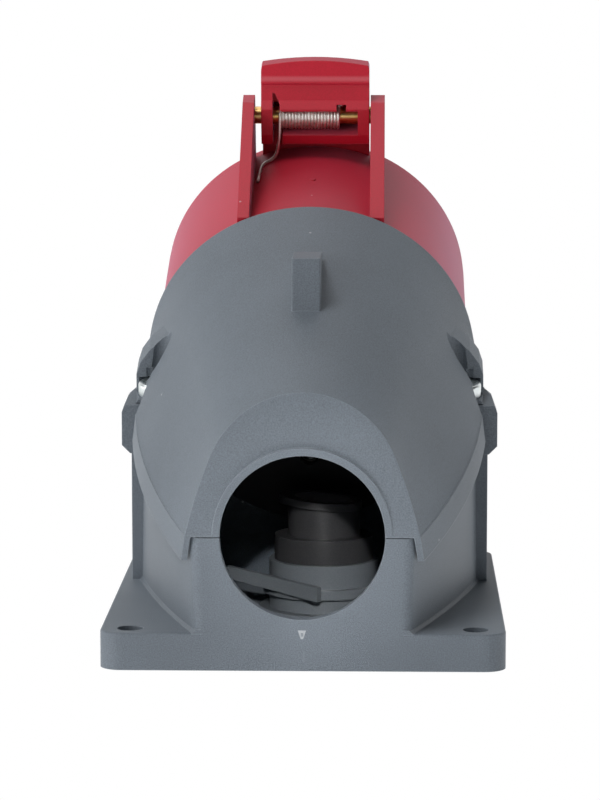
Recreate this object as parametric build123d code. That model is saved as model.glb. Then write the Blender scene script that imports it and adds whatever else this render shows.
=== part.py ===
from build123d import *
import math
import os

os.makedirs("parts", exist_ok=True)

# Industrial wall socket, 32 A, five pole, with a sloping two-part housing, in millimetres.
# The plate lies on Z = 0, X is across, and -Y is the end where the cable comes in.

# Driving dimensions of the wall plate
plate_width = 100.0
plate_length = 120.0
plate_height = 9.3
plate_corner = 5.5
plate_wall = 2.4
fixing_edge = 7.4
fixing_edge_y = 6.2
fixing_hole = 6.4

# Driving dimensions of the sloping housing
slope = 18.5
entry_radius = 20.25
entry_lift = 12.75
housing_length = 102.5
wall = 2.7
skirt_depth = 6.2
skirt_wall = 1.5
skirt_gap = 0.9
split_gap = 0.15
arch_lean = 5.0
arch_centre = 6.2
rim_centre = 0.9

# Driving dimensions of the collar, its lid and the hinge
collar_inset = 7.5
collar_length = 51.4
collar_wall = 4.9
lid_gap = 0.35
lid_thickness = 4.6
pin_radius = 2.4
coil_radius = 3.45
wire_radius = 0.45
block_shift = 0.4
block_half = 15.0
knuckle = 3.2
tab_rise = 15.7

# Driving dimensions of the contacts
phase_sleeve = 4.3
earth_sleeve = 5.3

# Driving dimensions of the cover screws
screw_head = 3.4
screw_seat = 1.2
screw_height = 3.5
groove_lean = 7.5

# Sizes that follow from the plate and the entry
half_plate = plate_width / 2
fixing_x = plate_width - 2 * fixing_edge
fixing_y = plate_length - 2 * fixing_edge_y
axis_height = entry_radius + entry_lift
collar_radius = half_plate - collar_inset
collar_bore = collar_radius - collar_wall
neck_radius = collar_radius - 2.0
flange_radius = collar_radius - 0.5
neck_bore = collar_radius - 9.5
rim_radius = collar_radius + 2.7
belly_radius = rim_radius + 1.0
belly_at = housing_length * 0.8
front_half = entry_radius + 8.53
belly_bow = belly_at * belly_at / (belly_radius - front_half)
crown_start = entry_radius + 10.32

# Sizes that follow from the housing's length
collar_end = housing_length + collar_length
rear_wall = housing_length - 5.0
rib_start = housing_length - 12.2
carrier_back = housing_length - 14.5
core_front = collar_end - 7.9
core_radius = collar_radius - 14.1
holder_back = carrier_back - 10.0
pole_circle = core_radius * 0.5915
screw_x = rim_radius - 3.1
screw_s = housing_length - 23.5
lid_start = collar_end + lid_gap
lid_end = lid_start + lid_thickness

# Sizes that follow from the collar
pin_s = collar_end - 3.9
pin_h = collar_radius + 10.8
ear_inner = block_half + 1.5
ear_inner_right = block_half + 0.8
ear_outer = block_half + 4.7

front = -plate_length / 2
cosine = math.cos(math.radians(slope))
sine = math.sin(math.radians(slope))
crown_rise = (rim_radius - crown_start) / housing_length
bush_x = 4.0
holder_foot = front + holder_back * cosine + (core_radius + 7.0) * sine
bush_y = holder_foot - 20.2
bush_radius = 14.4

# The sloping frame has its Y along the socket's axis and its Z square to the split plane
sloping = Location((0, front, axis_height), (slope, 0, 0))


def half_width(s):
    if s > belly_at:
        t = (s - belly_at) / (housing_length - belly_at)
        return belly_radius + (rim_radius - belly_radius) * t * t
    return belly_radius - (belly_at - s) ** 2 / belly_bow


def crown(s):
    return crown_start + crown_rise * s


# Cross-sections of the dome: two leaning flanks with one arc over them, tangent to both
def dome_section(s, inset):
    share = min(max(s / housing_length, 0.0), 1.0)
    centre = arch_centre + (rim_centre - arch_centre) * share
    foot = half_width(s) - inset
    radius = crown(s) - inset - centre
    reach = math.hypot(foot, centre)
    bearing = math.atan2(-centre, foot)
    swing = bearing + math.acos(min(radius / reach, 0.9999))
    touch = (radius * math.cos(swing), centre + radius * math.sin(swing))
    curves = [
        Line((foot, 0), touch),
        ThreePointArc(touch, (0, centre + radius), (-touch[0], touch[1])),
        Line((-touch[0], touch[1]), (-foot, 0)),
        Line((-foot, 0), (foot, 0)),
    ]
    plane = Plane(origin=(0, s, 0), x_dir=(1, 0, 0), z_dir=(0, -1, 0))
    return plane * make_face(Wire([e for line in curves for e in line.edges()]))


def dome(inset, start, end):
    places = [start] + [housing_length * k for k in (0.2, 0.4, 0.6, 0.8)] + [end]
    return loft([dome_section(s, inset) for s in places])


def plan_face(inset, end):
    places = [0.0, belly_at / 2, belly_at]
    right = [(half_width(s) - inset, s) for s in places]
    left = [(-x, s) for x, s in right]
    rear = half_width(end) - inset
    edges = [
        Line(left[0], right[0]),
        ThreePointArc(right[0], right[1], right[2]),
        Line(right[2], (rear, end)),
        Line((rear, end), (-rear, end)),
        Line((-rear, end), left[2]),
        ThreePointArc(left[2], left[1], left[0]),
    ]
    return make_face(Wire([e for line in edges for e in line.edges()]))


def skirt_flare(inset, high, low):
    top = Pos(0, 0, high) * plan_face(inset, housing_length)
    foot = Pos(0, 0, low) * plan_face(inset - 1.0, housing_length)
    return loft([top, foot], ruled=True)


def ring(outer, inner, start, end):
    tube = Plane(origin=(0, start, 0), x_dir=(1, 0, 0), z_dir=(0, 1, 0))
    shape = tube * extrude(Circle(outer), amount=end - start)
    if inner > 0:
        shape = shape - tube * extrude(Circle(inner), amount=end - start)
    return shape


def block(x0, x1, y0, y1, z0, z1):
    size = (x1 - x0, y1 - y0, z1 - z0)
    return Pos((x0 + x1) / 2, (y0 + y1) / 2, (z0 + z1) / 2) * Box(*size)


def post(x, y, z0, z1, radius):
    return Pos(x, y, (z0 + z1) / 2) * Cylinder(radius, z1 - z0)


def above_split(offset):
    return sloping * block(-90, 90, -90, 230, offset, 120)


def behind(s):
    return sloping * block(-90, 90, s, s + 120, -130, 130)


def export(shape, name):
    solids = shape.solids()
    keep = solids[0] if len(solids) == 1 else Compound(children=list(solids))
    keep.label = name
    export_step(keep, "parts/" + name + ".step")


# Base outline where it meets the plate, then where it meets the split plane
wall_inset = skirt_wall + skirt_gap


def base_outline(plane, inset, lower):
    if lower:
        near = housing_length * 0.33
        far = housing_length * 0.7
        right = [(front_half - 2.5 - inset, 0.0), (half_width(near) - 4.2 - inset, near)]
        right.append((half_width(far) - 1.5 - inset, far))
        rear = (rim_radius - 0.2 - inset, housing_length + 13.5)
    else:
        near = housing_length * 0.35
        far = housing_length * 0.74
        right = [(front_half - 2.0 - inset, 0.0), (half_width(near) - wall_inset - inset, near)]
        right.append((half_width(far) - wall_inset - inset, far))
        rear = (rim_radius - 0.2 - inset, housing_length)
    left = [(-x, y) for x, y in right]
    edges = [
        Line(left[0], right[0]),
        ThreePointArc(right[0], right[1], right[2]),
        Line(right[2], rear),
        Line(rear, (-rear[0], rear[1])),
        Line((-rear[0], rear[1]), left[2]),
        ThreePointArc(left[2], left[1], left[0]),
    ]
    return plane * make_face(Wire([e for line in edges for e in line.edges()]))


def base_body(inset, foot):
    low = base_outline(Plane(origin=(0, front, foot)), inset, True)
    top = base_outline(Plane(sloping), inset, False)
    return loft([low, top], ruled=True)


# Base: wall plate, lower half of the housing, screw lugs and fixing sleeves
plate_face = RectangleRounded(plate_width, plate_length, plate_corner)
pocket_face = RectangleRounded(plate_width - 2 * plate_wall, plate_length - 2 * plate_wall, 3.1)
base = extrude(plate_face, amount=plate_height)
base = fillet(base.faces().sort_by(Axis.Z)[-1].edges(), 0.5)
base = base - extrude(pocket_face, amount=plate_height - 2.5)
skin = base_outline(Plane(origin=(0, front, 0)), 0.4, True)
base = base + extrude(skin, amount=plate_height - 1.0)
lower = base_body(0.0, plate_height - 1.2)
upright = lower.edges().filter_by(lambda e: abs(e.center().Y - front) < 0.2 and e.length < 40)
upright = upright.filter_by(lambda e: abs(e.center().X) > entry_radius)
lower = fillet(upright, 3.0)
body = lower

# Lugs for the cover screws stand on pillars at both sides, their upper outer corners bevelled
lug_near = front + screw_s * cosine - 4.1
lug_far = lug_near + 11.2
lug_top = axis_height + (lug_near - front) * sine / cosine
for side in (-1, 1):
    inner = (half_plate - 11.0) * side
    lug_out = (half_plate - 0.2) * side
    lug = block(min(inner, lug_out), max(inner, lug_out), lug_near, lug_far, lug_top - 13.1, lug_top + 13.0)
    outer_edges = lug.edges().filter_by(Axis.Y).filter_by(lambda e: abs(e.center().X) > half_plate - 5)
    lug = chamfer(outer_edges.sort_by(Axis.Z)[:1], 2.2)
    bevel_points = [
        (lug_out + 0.1 * side, lug_top - 2.4),
        (lug_out - 1.4 * side, lug_top + 1.8),
        (lug_out - 3.3 * side, lug_top + 3.4),
        (lug_out + 5.0 * side, lug_top + 14.0),
        (lug_out + 5.0 * side, lug_top - 2.4),
    ]
    bevel_plane = Plane(origin=(0, lug_far + 2, 0), x_dir=(1, 0, 0), z_dir=(0, -1, 0))
    lug = lug - bevel_plane * extrude(make_face(Polyline(*bevel_points, close=True)), amount=20)
    pillar_far = (half_plate - 2.7) * side
    pillar_y = (lug_near + 1.2, lug_far - 0.4)
    pillar = block(min(inner, pillar_far), max(inner, pillar_far), *pillar_y, 2.0, lug_top - 10.7)
    body = body + lug + pillar
body = body - above_split(-split_gap) - behind(housing_length)
base = base + body

# Small slope where the housing's wall rises from the plate
foot_low = base_outline(Plane(origin=(0, front, plate_height - 0.2)), -1.0, True)
foot_high = base_outline(Plane(origin=(0, front, plate_height + 0.9)), 0.1, True)
foot_rim = loft([foot_low, foot_high], ruled=True) - behind(housing_length)
foot_rim = foot_rim & block(-half_plate, half_plate, front, -front - 4.0, 0, 20)
base = base + foot_rim

# Wiring space, closed by a floor and the rear wall
room = base_body(wall, 3.0)
room = room & block(-60, 60, front + 3.3, 80, 3.0, 90)
room = room - behind(rib_start)
base = base - room
base = base - sloping * ring(core_radius + 1.6, 0, rib_start - 1, rear_wall)
base = base - sloping * ring(flange_radius + 0.25, 0, rear_wall - 4.2, rear_wall)
base = base - sloping * ring(neck_radius + 0.2, 0, rear_wall - 0.1, housing_length + 1)
bore = Plane(origin=(0, front - 2, axis_height), x_dir=(1, 0, 0), z_dir=(0, 1, 0))
base = base - bore * extrude(Circle(entry_radius), amount=9)

# Fixing holes run down sleeves to the wall
for x in (-fixing_x / 2, fixing_x / 2):
    for y in (-fixing_y / 2, fixing_y / 2):
        sleeve = post(x, y, 0, plate_height - 1, 5.4) & extrude(plate_face, amount=plate_height)
        base = base + sleeve
        base = base - post(x, y, -1, plate_height + 1, fixing_hole / 2)
base = base - room - sloping * ring(flange_radius + 0.25, 0, rear_wall - 4.2, rear_wall)
base = base - sloping * ring(neck_radius + 0.2, 0, rear_wall - 0.1, housing_length + 1)

# Ribs under the floor and a recess below it, open to the wall
hollow = base_outline(Plane(origin=(0, front, 0)), 3.4, True)
hollow = extrude(hollow, amount=0.8) & block(-60, 60, front + 4.5, front + plate_length - 12, -1, 2)
base = base - hollow
base = base - post(bush_x, bush_y, -1, 4, bush_radius + 0.2)

# Pilot holes for the cover screws
for side in (-1, 1):
    base = base - sloping * post(screw_x * side, screw_s, -15.0, 3.0, 1.75)

# Grooves for the two sealing cords along the split
seal_out = 0.9
seal_in = 1.9


def seal_strip(side, low, high, extra):
    edge = 0.05 * extra
    outer = sloping * Pos(0, 0, low) * extrude(seal_face(seal_out - edge), amount=high - low)
    inner = sloping * Pos(0, 0, low - 1) * extrude(seal_face(seal_in + edge), amount=high - low + 2)
    strip = outer - inner
    near = 5.2 - 0.2 * extra
    far = screw_s - 6.6 + 0.2 * extra
    start = entry_radius + 3.25
    if side > 0:
        return strip & (sloping * block(start, 60, near, far, -6, 6))
    return strip & (sloping * block(-60, -start, near, far, -6, 6))


def seal_face(inset):
    return base_outline(Plane.XY, inset, False)


for side in (-1, 1):
    base = base - seal_strip(side, -1.35, 1.0, 1)
export(base, "base")

# Sealing cords lie in the grooves and meet the cover
export(seal_strip(-1, -1.35, split_gap, 0), "housing_seal_left")
export(seal_strip(1, -1.35, split_gap, 0), "housing_seal_right")

# Cover: the sloping dome with its skirt, front arch, ring and boss
outer_dome = dome(0.0, -6.0, housing_length)
outer_dome = outer_dome - block(-90, 90, -90, 110, -5, split_gap)
arch_cut = Pos(0, front, axis_height) * Rot(-arch_lean, 0, 0) * block(-90, 90, -60, 0, -60, 120)
cover = sloping * outer_dome - arch_cut
skirt = skirt_flare(0.0, split_gap + 0.3, -skirt_depth) - skirt_flare(skirt_wall, split_gap, -skirt_depth - 0.1)
skirt = skirt & block(-60, 60, -10, screw_s - 4.5, -20, 20)
cover = cover + (sloping * skirt - block(-60, 60, front - 20, front + 0.0, 0, 90))
inner_dome = dome(wall, -6.0, rib_start) - block(-90, 90, -90, 110, -50, -1)
arch_keep = Pos(0, front + 3.2, axis_height) * Rot(-arch_lean, 0, 0) * block(-90, 90, 0, 200, -60, 120)
cover = cover - (sloping * inner_dome & arch_keep)
cover = cover - sloping * ring(core_radius + 1.6, 0, rib_start - 1, rear_wall)
cover = cover - sloping * ring(flange_radius + 0.25, 0, rear_wall - 4.2, rear_wall)
cover = cover - sloping * ring(neck_radius + 0.2, 0, rear_wall - 0.1, housing_length + 1)

# Ring round the cable entry, on the cover's half
collar_face = Circle(entry_radius + 1.85) - Circle(entry_radius)
entry_ring = Plane(origin=(0, front, axis_height), x_dir=(1, 0, 0), z_dir=(0, 1, 0))
entry_ring = entry_ring * extrude(collar_face, amount=5.5) & above_split(split_gap)
cover = cover + entry_ring
cover = cover - bore * extrude(Circle(entry_radius), amount=9)

# Block boss on the crown, with its flat top running back into the dome
boss_at = housing_length * 0.498
boss_end = housing_length * 0.785
boss_y = front + boss_at * cosine - crown(boss_at) * sine
boss_top = axis_height + boss_end * sine + crown(boss_end) * cosine
boss = block(-3.65, 3.65, boss_y, boss_y + 21.6, boss_top - 18.4, boss_top)
boss = fillet(boss.edges().filter_by(Axis.Z), 0.35)
boss = boss - sloping * dome(1.4, -6.0, housing_length)
boss = boss - post(-1.0, boss_y + 2.0, boss_top - 0.8, boss_top + 1, 0.35)
cover = cover + boss

# Screw seats at the foot of the flank grooves, which lean in as they rise
for side in (-1, 1):
    x = screw_x * side
    swell_points = [
        (x - 5.0 * side, split_gap),
        (belly_radius * side, split_gap),
        ((belly_radius - 0.1) * side, 6.0),
        ((belly_radius - 1.2) * side, 9.4),
        ((belly_radius - 3.7) * side, 13.0),
        ((belly_radius - 8.0) * side, 16.8),
        (x - 5.0 * side, 17.4),
    ]
    swell_plane = Plane(origin=(0, screw_s + 11, 0), x_dir=(1, 0, 0), z_dir=(0, -1, 0))
    swell = swell_plane * extrude(make_face(Polyline(*swell_points, close=True)), amount=9.4)
    cover = cover + sloping * swell
    cover = cover + sloping * post(x, screw_s, split_gap, screw_seat, screw_head + 0.5)
    channel_x = x - 1.2 * side
    groove = Pos(channel_x, screw_s, screw_seat) * Rot(0, -groove_lean * side, 0) * post(0, 0, 0, 60, 2.5)
    groove = groove + post(x, screw_s, screw_seat, screw_seat + screw_height + 0.6, screw_head + 0.3)
    pocket_points = [
        ((screw_x + 0.7) * side, screw_s),
        ((screw_x + 0.7) * side, screw_s - 3.5),
        (belly_radius * side, screw_s - 13.0),
        ((half_plate + 2.0) * side, screw_s - 13.0),
        ((half_plate + 2.0) * side, screw_s),
    ]
    pocket_face = make_face(Polyline(*pocket_points, close=True))
    groove = groove + Pos(0, 0, screw_seat) * extrude(pocket_face, amount=screw_height + 0.6)
    step = Pos(0, 0, -9) * extrude(pocket_face, amount=12)
    groove = groove + (step & block(-90, 90, -90, screw_s - 3.7, -9, 3))
    cover = cover - sloping * groove
    cover = cover - sloping * post(x, screw_s, -8, 8, 2.1)
    far = (half_plate + 2.0) * side
    near = (half_plate - 11.0) * side
    clear = block(min(near, far), max(near, far), lug_near - 0.3, lug_far + 4.3, lug_top - 14, lug_top + 33)
    cover = cover - (clear - above_split(split_gap))
export(cover, "cover")

# Cover screws: pan heads with a cross and slot
for name, side in (("cover_screw_left", -1), ("cover_screw_right", 1)):
    head = post(0, 0, screw_seat, screw_seat + screw_height, screw_head)
    head = fillet(head.edges().sort_by(Axis.Z)[-1], 0.9)
    head = head - Pos(0, 0, screw_seat + screw_height) * Box(4.4, 0.9, 2.2)
    head = head - Pos(0, 0, screw_seat + screw_height) * Box(0.9, 4.4, 2.2)
    screw = head + post(0, 0, -13.0, screw_seat, 1.75)
    export(sloping * Pos(screw_x * side, screw_s, 0) * screw, name)

# Collar: neck held by the housing, outer flange, sleeve and two hinge ears
outer_flange = rim_radius - 1.8
seal_outer = neck_radius + 1.9
seal_inner = neck_radius + 0.5
collar = ring(neck_radius, neck_bore, rear_wall - 1, housing_length + 0.1)
collar = collar + ring(flange_radius, neck_bore, rear_wall - 3.8, rear_wall - 0.2)
collar = collar + ring(outer_flange, neck_bore, housing_length + 0.1, housing_length + 1.7)
collar = collar + ring(collar_radius, collar_bore, housing_length + 1, collar_end)
collar = collar - ring(seal_outer + 0.1, seal_inner - 0.1, housing_length, housing_length + 1.12)
collar = collar - ring(collar_bore, 0, rear_wall - 1.2, collar_end + 1)

for side in (-1, 1):
    ear_points = [
        (housing_length + 1.3, collar_radius - 5.5),
        (housing_length + 1.3, collar_radius - 1.0),
        (pin_s - 4.0, pin_h + 5.2),
        (pin_s + 3.6, pin_h + 5.2),
        (collar_end, pin_h - 5.3),
        (collar_end, collar_radius - 5.5),
    ]
    inner = ear_inner_right if side > 0 else ear_inner
    plane = Plane(origin=(inner * side, 0, 0), x_dir=(0, 1, 0), z_dir=(1, 0, 0))
    ear = extrude(plane * make_face(Polyline(*ear_points, close=True)), amount=(ear_outer - inner) * side)
    rounded = ear.edges().filter_by(Axis.X).sort_by(Axis.Z)[-2:]
    ear = fillet(rounded, 1.9)
    collar = collar + (ear - ring(collar_radius - 1, 0, 0, collar_end + 50))
pin_line = Plane(origin=(-2 * ear_outer, pin_s, pin_h), x_dir=(0, 1, 0), z_dir=(1, 0, 0))
collar = collar - pin_line * extrude(Circle(pin_radius), amount=4 * ear_outer)
pip = Pos(0, housing_length + 26.0, collar_radius) * Cylinder(0.8, 0.5)
collar = collar + pip

# Guide ribs inside the collar steer the plug, and the lowest one is a key slot's land
for turn in (30, 90, 150, 210, 330):
    rib = block(-1.5, 1.5, housing_length - 0.5, collar_end - 3.0, collar_bore - 1.4, collar_bore + 0.5)
    collar = collar + Rot(0, turn, 0) * rib
key_slot = block(-4.0, 4.0, rear_wall + 4.6, collar_end + 1, -collar_radius + 2.2, -collar_bore + 4)
collar = collar - key_slot
export(sloping * collar, "collar")

# Collar seal sits in the flange's groove, against the housing's end
export(sloping * ring(seal_outer, seal_inner, housing_length, housing_length + 1.12), "collar_seal")

# Hinge pin: brass rod pressed into both ears
pin = Plane(origin=(-ear_outer, pin_s, pin_h), x_dir=(0, 1, 0), z_dir=(1, 0, 0))
pin = pin * extrude(Circle(pin_radius), amount=2 * ear_outer)
export(sloping * pin, "hinge_pin")

# Lid: dished disc with a seal groove, hinge block, window and lever tab
lid = ring(collar_radius - 0.1, 0, lid_start, lid_end)
lid = fillet(lid.edges().sort_by(Axis.Y)[-1], 1.2)
lid = lid - ring(collar_radius - 6.5, 0, lid_end - 1.2, lid_end + 1)
block_left = block_shift - block_half
block_right = block_shift + block_half
lid_side = [
    (pin_s - 4.4, pin_h - 6.9),
    (pin_s - 5.3, pin_h - 4.0),
    (pin_s - 5.3, pin_h + 3.6),
    (pin_s - 3.2, pin_h + 5.6),
    (pin_s - 2.0, pin_h + 9.6),
    (pin_s - 2.5, pin_h + 10.3),
    (pin_s - 1.9, pin_h + 11.5),
    (pin_s + 0.9, pin_h + tab_rise),
    (pin_s + 4.1, pin_h + tab_rise),
    (pin_s + 3.4, pin_h + 10.0),
    (lid_end - 1.0, pin_h + 4.7),
    (lid_end, pin_h - 1.3),
    (lid_end, collar_radius - 4.5),
    (lid_start, collar_radius - 4.5),
    (lid_start, pin_h - 8.3),
]
side_plane = Plane(origin=(block_left, 0, 0), x_dir=(0, 1, 0), z_dir=(1, 0, 0))
hinge_block = extrude(side_plane * make_face(Polyline(*lid_side, close=True)), amount=2 * block_half)
corner = 2.5
tab_low = block(block_left, block_right, pin_s - 15, pin_s + 15, pin_h - 40, pin_h + tab_rise - corner)
tab_top = block(block_left + corner, block_right - corner, pin_s - 15, pin_s + 15, pin_h, pin_h + tab_rise)
tab_shape = tab_low + tab_top
for x in (block_left + corner, block_right - corner):
    tab_shape = tab_shape + Pos(x, pin_s, pin_h + tab_rise - corner) * Rot(90, 0, 0) * Cylinder(corner, 30)
bow_radius = 6 * block_half
bow = Pos(block_shift, pin_s, pin_h + tab_rise - bow_radius) * Rot(90, 0, 0) * Cylinder(bow_radius, 40)
hinge_block = hinge_block & tab_shape & bow

# Window for the spring, with a round room behind it and notches for the two legs
window_left = block_left + knuckle
window_right = block_right - knuckle
window = block(window_left, window_right, pin_s - 10, lid_start + 0.9, pin_h - 4.0, pin_h + 3.0)
room_line = Plane(origin=(window_left, pin_s, pin_h), x_dir=(0, 1, 0), z_dir=(1, 0, 0))
window = window + room_line * extrude(Circle(coil_radius + 0.5), amount=window_right - window_left)
hinge_block = hinge_block - window
leg_slot = block(window_left, -8.7, pin_s - 10, lid_start - 0.2, pin_h - 12, pin_h - 3.9)
hinge_block = hinge_block - leg_slot
notch_points = [
    (window_left, pin_h + 2.9),
    (window_left, pin_h + 7.4),
    (window_left + 0.6, pin_h + 7.4),
    (window_left + 2.0, pin_h + 4.6),
    (window_left + 2.0, pin_h + 2.9),
]
notch_plane = Plane(origin=(0, pin_s, 0), x_dir=(1, 0, 0), z_dir=(0, -1, 0))
notch = notch_plane * extrude(make_face(Polyline(*notch_points, close=True)), amount=8)
hinge_block = hinge_block - notch
hinge_block = hinge_block - block(6.4, 9.0, pin_s - 8, pin_s + 1, pin_h + 2.9, pin_h + 4.6)
knuckle_trim = ring(collar_radius + 1.2, 0, housing_length, lid_start)
lid = lid + (hinge_block - knuckle_trim)
lid = lid - ring(collar_radius - 1.4, collar_bore + 0.4, lid_start - 0.2, lid_start + 1.2)
lid = lid - pin_line * extrude(Circle(pin_radius + 0.06), amount=4 * ear_outer)
hook = block(-5.0, 5.0, lid_start - 3.2, lid_start + 0.5, collar_bore - 7.1, collar_bore - 3.6)
lid = lid + chamfer(hook.edges().filter_by(Axis.X).sort_by(Axis.Y)[:1], 1.2)
export(sloping * lid, "lid")

# Lid seal: flat rubber ring in the lid's groove
lid_ring = ring(collar_radius - 1.6, collar_bore + 0.6, lid_start, lid_start + 1.2)
export(sloping * lid_ring, "lid_seal")

# Lid spring: close-wound coil on the pin with a leg down to the collar and one up to the lid
coil_start = -9.7
coil_end = 7.2
coil_plane = Plane(origin=(coil_start, pin_s, pin_h), x_dir=(0, 1, 0), z_dir=(1, 0, 0))
coil_wall = Circle(coil_radius) - Circle(coil_radius - 2 * wire_radius)
coil = coil_plane * extrude(coil_wall, amount=coil_end - coil_start)
leg_path = FilletPolyline(
    (coil_start + 0.5, pin_s - coil_radius + wire_radius, pin_h),
    (coil_start + 0.3, pin_s - coil_radius - 0.2, pin_h - 5.0),
    (coil_start - 0.3, pin_s - coil_radius - 0.4, pin_h - 8.8),
    (-13.0, pin_s - 12.0, collar_radius - 0.7),
    (-14.4, pin_s - 16.0, collar_radius - 1.2),
    (-14.8, pin_s - 28.0, collar_radius - 1.6),
    radius=1.0,
)
leg_start = Plane(origin=leg_path @ 0, z_dir=leg_path % 0)
leg = sweep(leg_start * Circle(wire_radius), path=leg_path)
top_leg = block(coil_end - 0.8, coil_end, pin_s - 2.0, pin_s - 1.2, pin_h + coil_radius - 1.0, pin_h + 4.4)
top_leg = top_leg + block(coil_end - 0.8, coil_end + 1.6, pin_s - 2.0, pin_s - 1.2, pin_h + 3.6, pin_h + 4.4)
export(sloping * (coil + leg + top_leg), "lid_spring")

# Contact carrier: insulating core with five sleeve holes and a flange in the collar
flange_near = rear_wall + 0.2
carrier = ring(core_radius, 0, carrier_back, core_front)
carrier = carrier + ring(collar_bore - 0.15, 0, flange_near, flange_near + 4.0)
poles = [("earth", 270.0, earth_sleeve)]
poles += [("neutral", 198.0, phase_sleeve), ("line_one", 126.0, phase_sleeve)]
poles += [("line_two", 54.0, phase_sleeve), ("line_three", 342.0, phase_sleeve)]
for name, angle, radius in poles:
    x = pole_circle * math.cos(math.radians(angle))
    h = pole_circle * math.sin(math.radians(angle))
    carrier = carrier - Pos(x, 0, h) * ring(radius + 0.1, 0, carrier_back - 1, core_front + 1)
carrier = carrier - ring(1.5, 0, carrier_back - 1, carrier_back + 8)
export(sloping * carrier, "contact_carrier")

# Holding plate: black moulding behind the carrier, with a funnel for each core
terminal_at = holder_back + 5.0
holder = ring(core_radius + 7.0, 0, holder_back, carrier_back - 0.1)
for name, angle, radius in poles:
    x = pole_circle * math.cos(math.radians(angle))
    h = pole_circle * math.sin(math.radians(angle))
    drop = -1 if h < 0 else 1
    holder = holder - Pos(x, 0, h) * ring(radius + 0.1, 0, holder_back + 2.0, carrier_back)
    holder = holder - Pos(x, 0, h) * ring(2.9, 0, holder_back - 1, carrier_back)
    access = post(x, terminal_at, min(h, h + 60 * drop), max(h, h + 60 * drop), 1.9)
    holder = holder - access
holder = holder - ring(1.8, 0, holder_back - 1, carrier_back + 1)
holder = holder - ring(3.3, 0, holder_back - 1, holder_back + 2.6)
export(sloping * holder, "holding_plate")
holder_screw = ring(3.0, 0, holder_back + 0.2, holder_back + 2.6)
holder_screw = holder_screw + ring(1.5, 0, holder_back + 2, carrier_back + 7)
holder_screw = holder_screw - block(-3, 3, holder_back - 1, holder_back + 1.0, -0.4, 0.4)

# Contact sleeves: turned brass with a bored mouth, a terminal and a clamping screw
sleeve_back = holder_back + 2.1
for name, angle, radius in poles:
    x = pole_circle * math.cos(math.radians(angle))
    h = pole_circle * math.sin(math.radians(angle))
    pin_bore = radius - 1.2
    sleeve = ring(radius, 0, sleeve_back, core_front - 1.6)
    sleeve = sleeve - ring(pin_bore, 0, core_front - 42.0, core_front)
    sleeve = sleeve - block(-0.4, 0.4, core_front - 28.0, core_front, -10, 10)
    sleeve = sleeve - ring(2.6, 0, sleeve_back - 4, sleeve_back + 8)
    drop = -1 if h < 0 else 1
    sleeve = sleeve - post(0, terminal_at, min(0, 15 * drop), max(0, 15 * drop), 1.5)
    tip = 1.6 * drop
    screw_top = (radius + 1.6) * drop
    grub = post(0, terminal_at, min(tip, screw_top), max(tip, screw_top), 1.5)
    grub = grub - Pos(0, terminal_at, screw_top) * Box(4, 0.7, 1.4)
    export(sloping * Pos(x, 0, h) * sleeve, "sleeve_" + name)
    export(sloping * Pos(x, 0, h) * grub, "clamp_screw_" + name)
export(sloping * holder_screw, "holding_screw")

# Rear entry bush: stepped grey ring in the floor, with a slanting wing beside it
ledge_radius = bush_radius + 1.6
bush = post(bush_x, bush_y, 0.9, 8.1, bush_radius)
bush = bush + post(bush_x, bush_y, 3.0, 4.2, bush_radius + 2.6)
bush = bush + post(bush_x, bush_y, 8.1, 10.7, ledge_radius)
bush = bush + post(bush_x, bush_y, 10.7, 16.8, bush_radius)
wing_lean = 35.0
wing_face = Polyline((0, 8.4), (0, 12.3), (-30, 14.9), (-30, 11.8), close=True)
wing_place = Pos(bush_x - 1.4, bush_y - ledge_radius - 4.0, 0) * Rot(0, 0, -wing_lean)
wing_plane = Plane(origin=(0, 0, 0), x_dir=(1, 0, 0), z_dir=(0, -1, 0))
wing = wing_plane * extrude(make_face(wing_face), amount=-1.8)
bush = bush + wing_place * wing
web = block(-14.0, -9.0, 0.2, 4.5, 10.2, 12.4)
bush = bush + wing_place * web
grommet_bore = 7.6
bush = bush - post(bush_x, bush_y, 0, 20, grommet_bore + 2.4)
export(bush, "rear_entry_bush")

# Rear entry grommet: black rubber piece on the bush, with a flange, a neck and a tilted lip
neck_top = 32.0
grommet = post(bush_x, bush_y, 16.8, 23.2, bush_radius - 1.4)
grommet = grommet + post(bush_x, bush_y, 23.2, neck_top, 9.5)
grommet = grommet + Pos(bush_x - 0.9, bush_y, neck_top) * Rot(0, 5.2, 0) * Cylinder(11.0, 1.9)
grommet = grommet + post(bush_x, bush_y, 10.0, 16.8, grommet_bore + 2.3)
grommet = grommet - post(bush_x, bush_y, 0, 50, grommet_bore)
export(grommet, "rear_entry_grommet")
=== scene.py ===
import bpy
import bmesh
import math
from mathutils import Matrix, Vector


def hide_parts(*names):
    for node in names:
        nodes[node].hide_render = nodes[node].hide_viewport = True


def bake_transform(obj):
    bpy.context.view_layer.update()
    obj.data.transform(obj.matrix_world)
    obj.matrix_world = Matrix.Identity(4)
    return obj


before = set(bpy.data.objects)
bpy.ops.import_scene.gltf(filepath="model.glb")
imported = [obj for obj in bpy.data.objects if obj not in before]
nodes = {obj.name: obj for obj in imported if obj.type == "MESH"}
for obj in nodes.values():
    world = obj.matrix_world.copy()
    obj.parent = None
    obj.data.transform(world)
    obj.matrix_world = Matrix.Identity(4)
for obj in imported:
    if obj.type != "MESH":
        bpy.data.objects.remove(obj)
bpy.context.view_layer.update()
scene = bpy.context.scene


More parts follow.
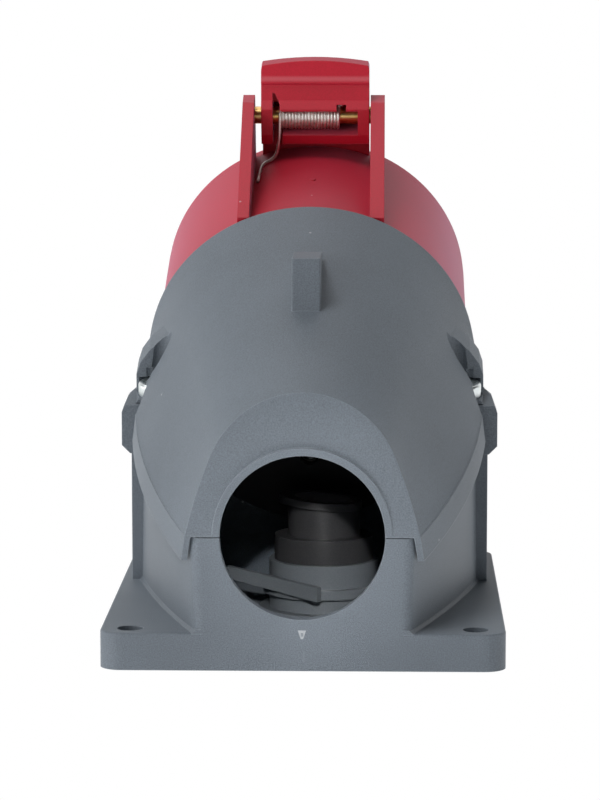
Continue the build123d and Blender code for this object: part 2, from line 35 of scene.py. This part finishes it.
# Camera: long lens, a little above the cable entry and to its right, looking slightly down
looking_down = 7.243
turned_left = 1.554
camera = bpy.data.objects.new("camera", bpy.data.cameras.new("camera"))
scene.collection.objects.link(camera)
camera.data.sensor_fit = "VERTICAL"
camera.data.sensor_height = 36.0
camera.data.lens = 144.0
camera.data.clip_start = 0.05
camera.data.clip_end = 20.0
camera.location = (0.02034, -0.8294, 0.16482)
camera.rotation_euler = (math.radians(90 - looking_down), 0, math.radians(turned_left))
scene.camera = camera
scene.view_settings.view_transform = "Standard"


# Surroundings: plain white to the camera, white behind the object in reflections too,
# and next to no light of their own
def combine(tree, operation, *values):
    step = tree.nodes.new("ShaderNodeMath")
    step.operation = operation
    for socket, value in zip(step.inputs, values):
        if isinstance(value, (int, float)):
            socket.default_value = value
        else:
            tree.links.new(value, socket)
    return step.outputs[0]


def remap(tree, value, low_in, high_in, low_out=0.0, high_out=1.0):
    step = tree.nodes.new("ShaderNodeMapRange")
    step.inputs["From Min"].default_value = low_in
    step.inputs["From Max"].default_value = high_in
    step.inputs["To Min"].default_value = low_out
    step.inputs["To Max"].default_value = high_out
    tree.links.new(value, step.inputs["Value"])
    return step.outputs[0]


def split_place(tree, coordinates):
    place = tree.nodes.new("ShaderNodeTexCoord")
    split = tree.nodes.new("ShaderNodeSeparateXYZ")
    tree.links.new(place.outputs[coordinates], split.inputs[0])
    return split.outputs


def pick_shader(tree, share, first, second, output):
    either = tree.nodes.new("ShaderNodeMixShader")
    tree.links.new(share, either.inputs[0])
    tree.links.new(first.outputs[0], either.inputs[1])
    tree.links.new(second.outputs[0], either.inputs[2])
    end = tree.nodes.new(output)
    tree.links.new(either.outputs[0], end.inputs[0])


world = bpy.data.worlds.new("studio")
scene.world = world
world.use_nodes = True
tree = world.node_tree
tree.nodes.clear()
rays = tree.nodes.new("ShaderNodeLightPath").outputs
behind = remap(tree, split_place(tree, "Generated")["Y"], -0.1, 0.6)
mirrored = combine(tree, "MULTIPLY", rays["Is Glossy Ray"], behind)
direct = combine(tree, "MAXIMUM", rays["Is Camera Ray"], rays["Is Transmission Ray"])
seen = combine(tree, "MAXIMUM", direct, mirrored)
shed = tree.nodes.new("ShaderNodeBackground")
shed.inputs["Color"].default_value = (0.93, 0.96, 1.0, 1)
shed.inputs["Strength"].default_value = 0.015
plain = tree.nodes.new("ShaderNodeBackground")
plain.inputs["Color"].default_value = (1, 1, 1, 1)
plain.inputs["Strength"].default_value = 1.0
pick_shader(tree, seen, shed, plain, "ShaderNodeOutputWorld")


# Floor: a wide pale sheet, plain white to the camera and in reflections, lit a little from
# below for the housing's walls, as on a light table
floor_half = 1.6
floor_centre_y = 0.3
floor_drop = 0.0002
floor_mesh = bpy.data.meshes.new("floor")
bm = bmesh.new()
bmesh.ops.create_grid(bm, x_segments=2, y_segments=2, size=floor_half)
bmesh.ops.translate(bm, verts=bm.verts, vec=(0, floor_centre_y, -floor_drop))
bm.to_mesh(floor_mesh)
bm.free()
floor = bpy.data.objects.new("floor", floor_mesh)
scene.collection.objects.link(floor)
floor_paint = bpy.data.materials.new("floor")
floor_paint.use_nodes = True
tree = floor_paint.node_tree
tree.nodes.clear()
rays = tree.nodes.new("ShaderNodeLightPath").outputs
direct = combine(tree, "MAXIMUM", rays["Is Camera Ray"], rays["Is Transmission Ray"])
seen = combine(tree, "MAXIMUM", direct, rays["Is Glossy Ray"])
matt = tree.nodes.new("ShaderNodeBsdfDiffuse")
matt.inputs["Color"].default_value = (0.82, 0.82, 0.82, 1)
glow = tree.nodes.new("ShaderNodeEmission")
glow.inputs["Color"].default_value = (1, 1, 1, 1)
glow.inputs["Strength"].default_value = 0.76
lit = tree.nodes.new("ShaderNodeAddShader")
tree.links.new(matt.outputs[0], lit.inputs[0])
tree.links.new(glow.outputs[0], lit.inputs[1])
white = tree.nodes.new("ShaderNodeEmission")
white.inputs["Color"].default_value = (1, 1, 1, 1)
pick_shader(tree, seen, lit, white, "ShaderNodeOutputMaterial")
floor_mesh.materials.append(floor_paint)


# Light: soft boxes on the left in front, low on both sides, above and behind, and a narrow
# lamp that reaches through the cable entry
def aim(item, place, target):
    scene.collection.objects.link(item)
    item.location = place
    item.rotation_euler = (Vector(target) - Vector(place)).to_track_quat("-Z", "Y").to_euler()


def soft_box(name, place, size, power):
    lamp = bpy.data.lights.new(name, "AREA")
    lamp.shape = "SQUARE"
    lamp.size = size
    lamp.energy = power
    aim(bpy.data.objects.new(name, lamp), place, (0, 0, 0.07))


soft_box("key", (-0.905, -0.905, 0.296), size=0.8, power=6.4)
soft_box("low_left", (-1.280, -0.226, 0.115), size=0.8, power=4.5)
soft_box("low_right", (1.255, -0.336, 0.115), size=0.8, power=2.4)
soft_box("high", (-0.388, -0.388, 1.248), size=0.6, power=7.4)
soft_box("back", (0, 0.45, 1.29), size=0.8, power=2.6)
reach_in = bpy.data.lights.new("reach_in", "SPOT")
reach_in.energy = 58.0
reach_in.spot_size = math.radians(2.1)
reach_in.spot_blend = 0.5
reach_in.shadow_soft_size = 0.03
aim(bpy.data.objects.new("reach_in", reach_in), (0.03, -1.0, 0.40), (0.0, -0.058, 0.033))


# Base: the lower half of the housing with the wall plate, moulded grey thermoplastic.
# Fine spark-eroded grain, a faint cloudiness, pale dust, edges painted a little paler as a painted
# highlight, and a small pale triangle pressed in under the cable entry.
def noise(tree, scale, detail):
    place = tree.nodes.new("ShaderNodeTexCoord")
    step = tree.nodes.new("ShaderNodeTexNoise")
    step.inputs["Scale"].default_value = scale
    step.inputs["Detail"].default_value = detail
    tree.links.new(place.outputs["Object"], step.inputs["Vector"])
    return step.outputs["Fac"]


def tone_ramp(tree, value, low_at, low, high_at, high):
    tint = tree.nodes.new("ShaderNodeValToRGB")
    tint.color_ramp.elements[0].position = low_at
    tint.color_ramp.elements[0].color = (*low, 1)
    tint.color_ramp.elements[1].position = high_at
    tint.color_ramp.elements[1].color = (*high, 1)
    tree.links.new(value, tint.inputs["Fac"])
    return tint.outputs[0]


def mix_colour(tree, share, first, second):
    step = tree.nodes.new("ShaderNodeMix")
    step.data_type = "RGBA"
    tree.links.new(share, step.inputs[0])
    for socket, colour in ((step.inputs[6], first), (step.inputs[7], second)):
        if isinstance(colour, tuple):
            socket.default_value = (*colour, 1)
        else:
            tree.links.new(colour, socket)
    return step.outputs[2]


def pale_dust(tree, colour, specks):
    place = tree.nodes.new("ShaderNodeTexCoord")
    dust = tree.nodes.new("ShaderNodeTexVoronoi")
    dust.feature = "F1"
    dust.inputs["Scale"].default_value = 210.0
    tree.links.new(place.outputs["Object"], dust.inputs["Vector"])
    dot = combine(tree, "LESS_THAN", dust.outputs["Distance"], 0.07)
    rare = tree.nodes.new("ShaderNodeSeparateColor")
    tree.links.new(dust.outputs["Color"], rare.inputs[0])
    chosen = combine(tree, "LESS_THAN", rare.outputs[0], specks)
    speck = combine(tree, "MULTIPLY", combine(tree, "MULTIPLY", dot, chosen), 0.35)
    return mix_colour(tree, speck, colour, (0.75, 0.76, 0.78))


def plastic(name, low, high, rough, grain, specks, edge_highlight, sheen=0.0, bloom=(1, 1, 1)):
    material = bpy.data.materials.new(name)
    material.use_nodes = True
    tree = material.node_tree
    shader = tree.nodes["Principled BSDF"]
    cloud = noise(tree, 28.0, 5.0)
    mottle = noise(tree, 3000.0, 3.0)
    pits = noise(tree, 3200.0, 2.0)
    patches = combine(tree, "MULTIPLY_ADD", mottle, 0.7, combine(tree, "MULTIPLY", cloud, 0.3))
    moulded = pale_dust(tree, tone_ramp(tree, patches, 0.36, low, 0.64, high), specks)
    bevel = tree.nodes.new("ShaderNodeBevel")
    bevel.samples = 6
    bevel.inputs["Radius"].default_value = 0.00035
    surface = tree.nodes.new("ShaderNodeNewGeometry")
    turned = tree.nodes.new("ShaderNodeVectorMath")
    turned.operation = "DOT_PRODUCT"
    tree.links.new(bevel.outputs["Normal"], turned.inputs[0])
    tree.links.new(surface.outputs["Normal"], turned.inputs[1])
    # Painted highlight: where the bevel normal turns away from the surface's normal, near edges,
    # the colour is mixed towards a paler tone, as if the edges caught the light
    edge = remap(tree, turned.outputs["Value"], 0.985, 0.85, 0.0, edge_highlight)
    highlight_tone = tuple(min(1.0, part * 1.3 + 0.16) for part in high)
    edge_highlighted = mix_colour(tree, edge, moulded, highlight_tone)
    tree.links.new(edge_highlighted, shader.inputs["Base Color"])
    dull = remap(tree, mottle, 0.0, 1.0, rough - 0.07, rough + 0.07)
    tree.links.new(dull, shader.inputs["Roughness"])
    relief = tree.nodes.new("ShaderNodeBump")
    relief.inputs["Strength"].default_value = grain
    relief.inputs["Distance"].default_value = 0.0002
    tree.links.new(pits, relief.inputs["Height"])
    tree.links.new(bevel.outputs["Normal"], relief.inputs["Normal"])
    tree.links.new(relief.outputs[0], shader.inputs["Normal"])
    shader.inputs["IOR"].default_value = 1.5
    shader.inputs["Sheen Weight"].default_value = sheen
    shader.inputs["Sheen Roughness"].default_value = 0.4
    shader.inputs["Sheen Tint"].default_value = (*bloom, 1)
    return material


def paint_over(tree, share, colour):
    base_colour = tree.nodes["Principled BSDF"].inputs["Base Color"]
    below = base_colour.links[0].from_socket
    tree.links.new(mix_colour(tree, share, below, colour), base_colour)


def away_from(tree, value, middle):
    return combine(tree, "ABSOLUTE", combine(tree, "SUBTRACT", value, middle))


def dress(name, material):
    nodes[name].data.materials.clear()
    nodes[name].data.materials.append(material)


housing_grey = plastic(
    "housing_grey", (0.098, 0.117, 0.139), (0.154, 0.182, 0.213),
    rough=0.58, grain=0.6, specks=0.07, edge_highlight=0.5, sheen=0.12, bloom=(0.85, 0.92, 1.0))
front_face_y = -0.0597
mark_x = -0.00006
mark_foot = 0.0080
mark_head = 0.01015
mark_foot_half = 0.0003
mark_head_half = 0.00102
core_half_width = 0.00028
core_half_height = 0.00045
drip_x = 0.0004
drip_z = 0.0036
drip_half_width = 0.00025
drip_half_height = 0.0014
tree = housing_grey.node_tree
place = split_place(tree, "Object")
on_face = combine(tree, "LESS_THAN", place["Y"], front_face_y)
aside = away_from(tree, place["X"], mark_x)
half_width = remap(tree, place["Z"], mark_foot, mark_head, mark_foot_half, mark_head_half)
from_middle = away_from(tree, place["Z"], (mark_foot + mark_head) / 2)
narrow = combine(tree, "LESS_THAN", aside, half_width)
low_enough = combine(tree, "LESS_THAN", from_middle, (mark_head - mark_foot) / 2)
whole = combine(tree, "MULTIPLY", combine(tree, "MULTIPLY", narrow, low_enough), on_face)
core_narrow = combine(tree, "LESS_THAN", aside, core_half_width)
core_low = combine(tree, "LESS_THAN", from_middle, core_half_height)
core = combine(tree, "MULTIPLY", combine(tree, "MULTIPLY", core_narrow, core_low), on_face)
mark_strength = combine(tree, "MULTIPLY", whole, 0.62)
mark = combine(tree, "SUBTRACT", mark_strength, combine(tree, "MULTIPLY", core, 0.4))
drip_narrow = combine(tree, "LESS_THAN", away_from(tree, place["X"], drip_x), drip_half_width)
drip_low = combine(tree, "LESS_THAN", away_from(tree, place["Z"], drip_z), drip_half_height)
drip = combine(tree, "MULTIPLY", combine(tree, "MULTIPLY", drip_narrow, drip_low), on_face)
marked = combine(tree, "ADD", mark, combine(tree, "MULTIPLY", drip, 0.05))
paint_over(tree, marked, (0.52, 0.54, 0.56))
dress("base", housing_grey)


# Cover: the upper half of the housing, a dome with a skirt over the base's wall, moulded in
# the same grey thermoplastic and held down by the two screws in its flanks
dress("cover", housing_grey)


# Collar: signal-red thermoplastic with a satin surface, moulded with its flange and the
# two ears for the hinge, and held in the housing's end by its neck
red_low = (0.42, 0.001, 0.014)
red_high = (0.51, 0.002, 0.022)
red_bloom = (0.72, 0.66, 1.0)
signal_red = plastic(
    "signal_red", red_low, red_high,
    rough=0.52, grain=0.05, specks=0.02, edge_highlight=0.1, sheen=0.27, bloom=red_bloom)
dress("collar", signal_red)


# Lid: the same red thermoplastic, moulded in one with its hinge block and lever tab,
# with a painted highlight across the tab where it bends and the bend catches the light
lid_red = plastic(
    "lid_red", red_low, red_high,
    rough=0.52, grain=0.05, specks=0.02, edge_highlight=0.1, sheen=0.27, bloom=red_bloom)
highlight_band_height = 0.1413
highlight_band_edge = 0.0011
highlight_band_core = 0.0002
tree = lid_red.node_tree
# Painted highlight: a paler band across the tab at the height of its bend
from_highlight_band = away_from(tree, split_place(tree, "Object")["Z"], highlight_band_height)
tab_highlight = remap(tree, from_highlight_band, highlight_band_edge, highlight_band_core, 0.0, 0.10)
tab_highlight.node.interpolation_type = "SMOOTHSTEP"
paint_over(tree, tab_highlight, (1.0, 0.66, 0.72))
dress("lid", lid_red)


# Contact carrier: core of dark heat-resistant plastic with a hole for each of the five
# sleeves, set in the collar by its flange
core_grey = plastic(
    "core_grey", (0.050, 0.056, 0.062), (0.066, 0.072, 0.080),
    rough=0.5, grain=0.15, specks=0.02, edge_highlight=0.1)
dress("contact_carrier", core_grey)


# Holding plate: matt black moulding with a funnel for each core of the cable,
# screwed on behind the contact carrier so that the sleeves can't back out
core_black = plastic(
    "core_black", (0.010, 0.010, 0.011), (0.014, 0.014, 0.015),
    rough=0.6, grain=0.1, specks=0.0, edge_highlight=0.0)
dress("holding_plate", core_black)


# Rear entry bush: stepped ring with a slanting wing, in a smoother grey plastic paler than the
# housing's, painted paler still as painted light inside the cable entry, set in the housing's floor
bush_grey = plastic(
    "bush_grey", (0.22, 0.245, 0.27), (0.26, 0.285, 0.31),
    rough=0.4, grain=0.1, specks=0.03, edge_highlight=0.2)
dress("rear_entry_bush", bush_grey)


# Rear entry grommet: black rubber with a dull shine, a flange, a neck and a tilted lip,
# pushed into the bush, painted paler than the seals' rubber as painted light inside the cable entry
grommet_rubber_painted_lit = plastic(
    "grommet_rubber_painted_lit", (0.060, 0.060, 0.063), (0.078, 0.078, 0.082),
    rough=0.36, grain=0.12, specks=0.03, edge_highlight=0.15)
dress("rear_entry_grommet", grommet_rubber_painted_lit)


# Lid seal: flat black rubber ring, laid in the groove on the lid's inner face
seal_rubber = plastic(
    "seal_rubber", (0.018, 0.018, 0.020), (0.028, 0.028, 0.030),
    rough=0.5, grain=0.12, specks=0.03, edge_highlight=0.1)
dress("lid_seal", seal_rubber)


# Collar seal: the same black rubber, a ring in the collar's flange against the housing
dress("collar_seal", seal_rubber)


# Housing seals: the same black rubber, a cord along the split between base and cover,
# one on each side
dress("housing_seal_left", seal_rubber)
dress("housing_seal_right", seal_rubber)


# Hinge pin: drawn brass rod with a fine scratched surface, pressed into the collar's ears
def metal(name, low, high, rough, scratch):
    material = bpy.data.materials.new(name)
    material.use_nodes = True
    tree = material.node_tree
    shader = tree.nodes["Principled BSDF"]
    tone = noise(tree, 350.0, 4.0)
    tree.links.new(tone_ramp(tree, tone, 0.35, low, 0.65, high), shader.inputs["Base Color"])
    dull = remap(tree, tone, 0.0, 1.0, rough - 0.08, rough + 0.1)
    tree.links.new(dull, shader.inputs["Roughness"])
    relief = tree.nodes.new("ShaderNodeBump")
    relief.inputs["Strength"].default_value = scratch
    relief.inputs["Distance"].default_value = 0.0001
    tree.links.new(tone, relief.inputs["Height"])
    tree.links.new(relief.outputs[0], shader.inputs["Normal"])
    shader.inputs["Metallic"].default_value = 1.0
    return material


brass_low = (0.58, 0.36, 0.12)
brass_high = (0.80, 0.56, 0.24)
brass = metal("brass", brass_low, brass_high, rough=0.32, scratch=0.1)
dress("hinge_pin", brass)


# Contact sleeves: turned brass, the earth sleeve thicker than the four others, held by
# the carrier and tarnished dark towards the terminals at their back
tarnished_to_y = 0.030
clean_from_y = 0.050
poles = ("earth", "neutral", "line_one", "line_two", "line_three")
sleeve_brass = metal("sleeve_brass", brass_low, brass_high, rough=0.32, scratch=0.1)
tree = sleeve_brass.node_tree
tarnish = remap(tree, split_place(tree, "Object")["Y"], tarnished_to_y, clean_from_y, 1.0, 0.0)
paint_over(tree, tarnish, (0.020, 0.015, 0.010))
for pole in poles:
    dress("sleeve_" + pole, sleeve_brass)


# Clamp screws: zinc-plated slotted steel screws, one in the foot of each sleeve
zinc = metal("zinc", (0.70, 0.76, 0.76), (0.88, 0.92, 0.92), rough=0.34, scratch=0.08)
for pole in poles:
    dress("clamp_screw_" + pole, zinc)


# Holding screw: zinc-plated slotted steel screw, through the holding plate into the carrier
dress("holding_screw", zinc)


# Cover screws: zinc-plated pan-head steel screws, one in the seat on each flank of the
# cover and into the base's lug below it
dress("cover_screw_left", zinc)
dress("cover_screw_right", zinc)


# Lid spring: close-wound torsion spring of bright steel wire round the brass pin,
# one leg bent down on to the collar, the other hooked over the lid's block
slope = math.radians(18.5)
front = -0.060
axis_height = 0.033


def socket_point(across, along, above):
    y = front + along * math.cos(slope) - above * math.sin(slope)
    z = axis_height + along * math.sin(slope) + above * math.cos(slope)
    return Vector((across, y, z))


def bent_wire(name, points, radius, sides, material):
    ends = [points[0]] + points + [points[-1]]
    headings = [(after - before).normalized() for before, after in zip(ends, ends[2:])]
    start = Matrix.Translation(points[0]) @ headings[0].to_track_quat("Z", "Y").to_matrix().to_4x4()
    bm = bmesh.new()
    bmesh.ops.create_circle(bm, cap_ends=True, segments=sides, radius=radius, matrix=start)
    rim = list(bm.edges)
    for i in range(1, len(points)):
        grown = bmesh.ops.extrude_edge_only(bm, edges=rim)["geom"]
        corners = [part for part in grown if isinstance(part, bmesh.types.BMVert)]
        rim = [part for part in grown if isinstance(part, bmesh.types.BMEdge)]
        turn = headings[i - 1].rotation_difference(headings[i]).to_matrix().to_4x4()
        onward = Matrix.Translation(points[i]) @ turn @ Matrix.Translation(-points[i - 1])
        bmesh.ops.transform(bm, matrix=onward, verts=corners)
    bmesh.ops.contextual_create(bm, geom=rim)
    bmesh.ops.recalc_face_normals(bm, faces=bm.faces)
    for face in bm.faces:
        face.smooth = True
    mesh = bpy.data.meshes.new(name)
    bm.to_mesh(mesh)
    bm.free()
    mesh.materials.append(material)
    piece = bpy.data.objects.new(name, mesh)
    scene.collection.objects.link(piece)
    return piece


wire = metal("wire", (0.74, 0.71, 0.67), (0.90, 0.87, 0.83), rough=0.42, scratch=0.05)
pin_s = 0.150
pin_h = 0.0533
turns = 18
steps = 24
last_steps = 6
coil_left = -0.0094
coil_width = 0.0162
coil_reach = 0.00315
coil_hang = 0.0003
wire_radius = 0.00047
wire_sides = 10
leg = [(-0.0153, 0.1330, 0.0402), (-0.0150, 0.1376, 0.0403), (-0.0147, 0.1420, 0.0404),
       (-0.0143, 0.1445, 0.0405), (-0.0132, 0.1460, 0.0408), (-0.0118, 0.1467, 0.0413),
       (-0.0108, 0.1466, 0.0424), (-0.0102, 0.1463, 0.0440), (-0.0099, 0.1462, 0.0460),
       (-0.0096, 0.1463, 0.0483), (-0.0095, 0.1466, 0.0505)]
hook = [(0.0071, 0.1486, 0.0569), (0.0076, 0.1481, 0.0573), (0.0078, 0.1472, 0.0573)]
wire_points = [socket_point(*point) for point in leg]
for step in range(turns * steps + last_steps):
    angle = math.pi + math.tau * step / steps
    across = coil_left + coil_width * step / (turns * steps)
    along = pin_s + coil_reach * math.cos(angle)
    above = pin_h - coil_hang - coil_reach * math.sin(angle)
    wire_points.append(socket_point(across, along, above))
wire_points += [socket_point(*point) for point in hook]
lid_spring = bent_wire("lid_spring_wire", wire_points, wire_radius, wire_sides, wire)
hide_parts("lid_spring")
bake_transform(lid_spring)
